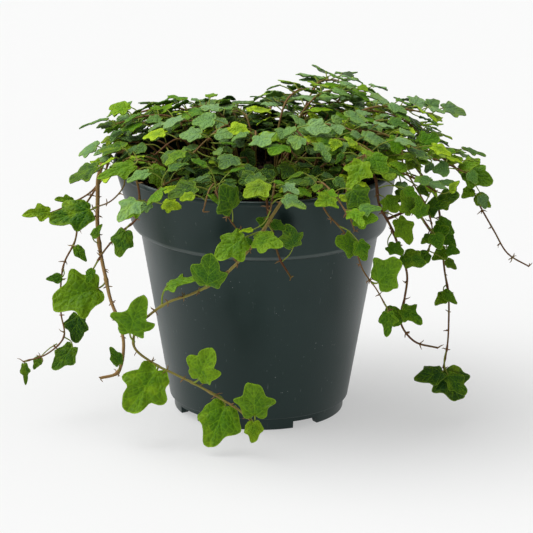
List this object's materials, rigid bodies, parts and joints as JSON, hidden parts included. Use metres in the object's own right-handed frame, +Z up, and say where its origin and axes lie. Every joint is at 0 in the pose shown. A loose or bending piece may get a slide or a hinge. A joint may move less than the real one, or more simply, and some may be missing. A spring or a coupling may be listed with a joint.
{
  "type": "potted string of frogs",
  "caption": "Creeping fig with small lobed leaves in a round plastic nursery pot, with stems trailing over its rim.",
  "frame": {"origin": "on the pot's axis, at the level that its foot stands on", "axes": "+Z up along the pot's axis, -Y towards the side that the picture shows, +X to its right"},
  "size_m": [0.2166, 0.1704, 0.1371],
  "materials": {
    "pot_plastic": "matte, finely grained moulded plastic with scuffs",
    "potting_mix": "damp, crumbly and dark",
    "leaf_green": "soft satin leaves with paler edges, on brown stems"
  },
  "bodies": {
    "root": {"crown_spray_01": "leaf_green", "crown_spray_02": "leaf_green", "crown_spray_03": "leaf_green", "crown_spray_04": "leaf_green", "crown_spray_05": "leaf_green", "crown_spray_06": "leaf_green", "crown_spray_07": "leaf_green", "crown_spray_08": "leaf_green", "crown_spray_09": "leaf_green", "front_dark_stem": "leaf_green", "front_feeder": "leaf_green", "front_light_shoot": "leaf_green", "front_right_vine": "leaf_green", "front_vine": "leaf_green", "left_dark_stem": "leaf_green", "left_front_shoot": "leaf_green", "left_light_shoot": "leaf_green", "left_thin_vine": "leaf_green", "left_upper_shoot": "leaf_green", "left_woody_stem": "leaf_green", "middle_spray_01": "leaf_green", "middle_spray_02": "leaf_green", "middle_spray_03": "leaf_green", "middle_spray_04": "leaf_green", "middle_spray_05": "leaf_green", "middle_spray_06": "leaf_green", "middle_spray_07": "leaf_green", "middle_spray_08": "leaf_green", "middle_spray_09": "leaf_green", "middle_spray_10": "leaf_green", "middle_spray_11": "leaf_green", "middle_spray_12": "leaf_green", "pot": "pot_plastic", "right_drop_vine": "leaf_green", "right_front_shoot": "leaf_green", "right_short_vine": "leaf_green", "right_vine": "leaf_green", "right_whip": "leaf_green", "rim_spray_01": "leaf_green", "rim_spray_02": "leaf_green", "rim_spray_03": "leaf_green", "rim_spray_04": "leaf_green", "rim_spray_05": "leaf_green", "rim_spray_06": "leaf_green", "rim_spray_07": "leaf_green", "rim_spray_08": "leaf_green", "rim_spray_09": "leaf_green", "rim_spray_10": "leaf_green", "rim_spray_11": "leaf_green", "rim_spray_12": "leaf_green", "rim_spray_13": "leaf_green", "rim_spray_14": "leaf_green", "soil": "potting_mix"}
  },
  "joints": []
}
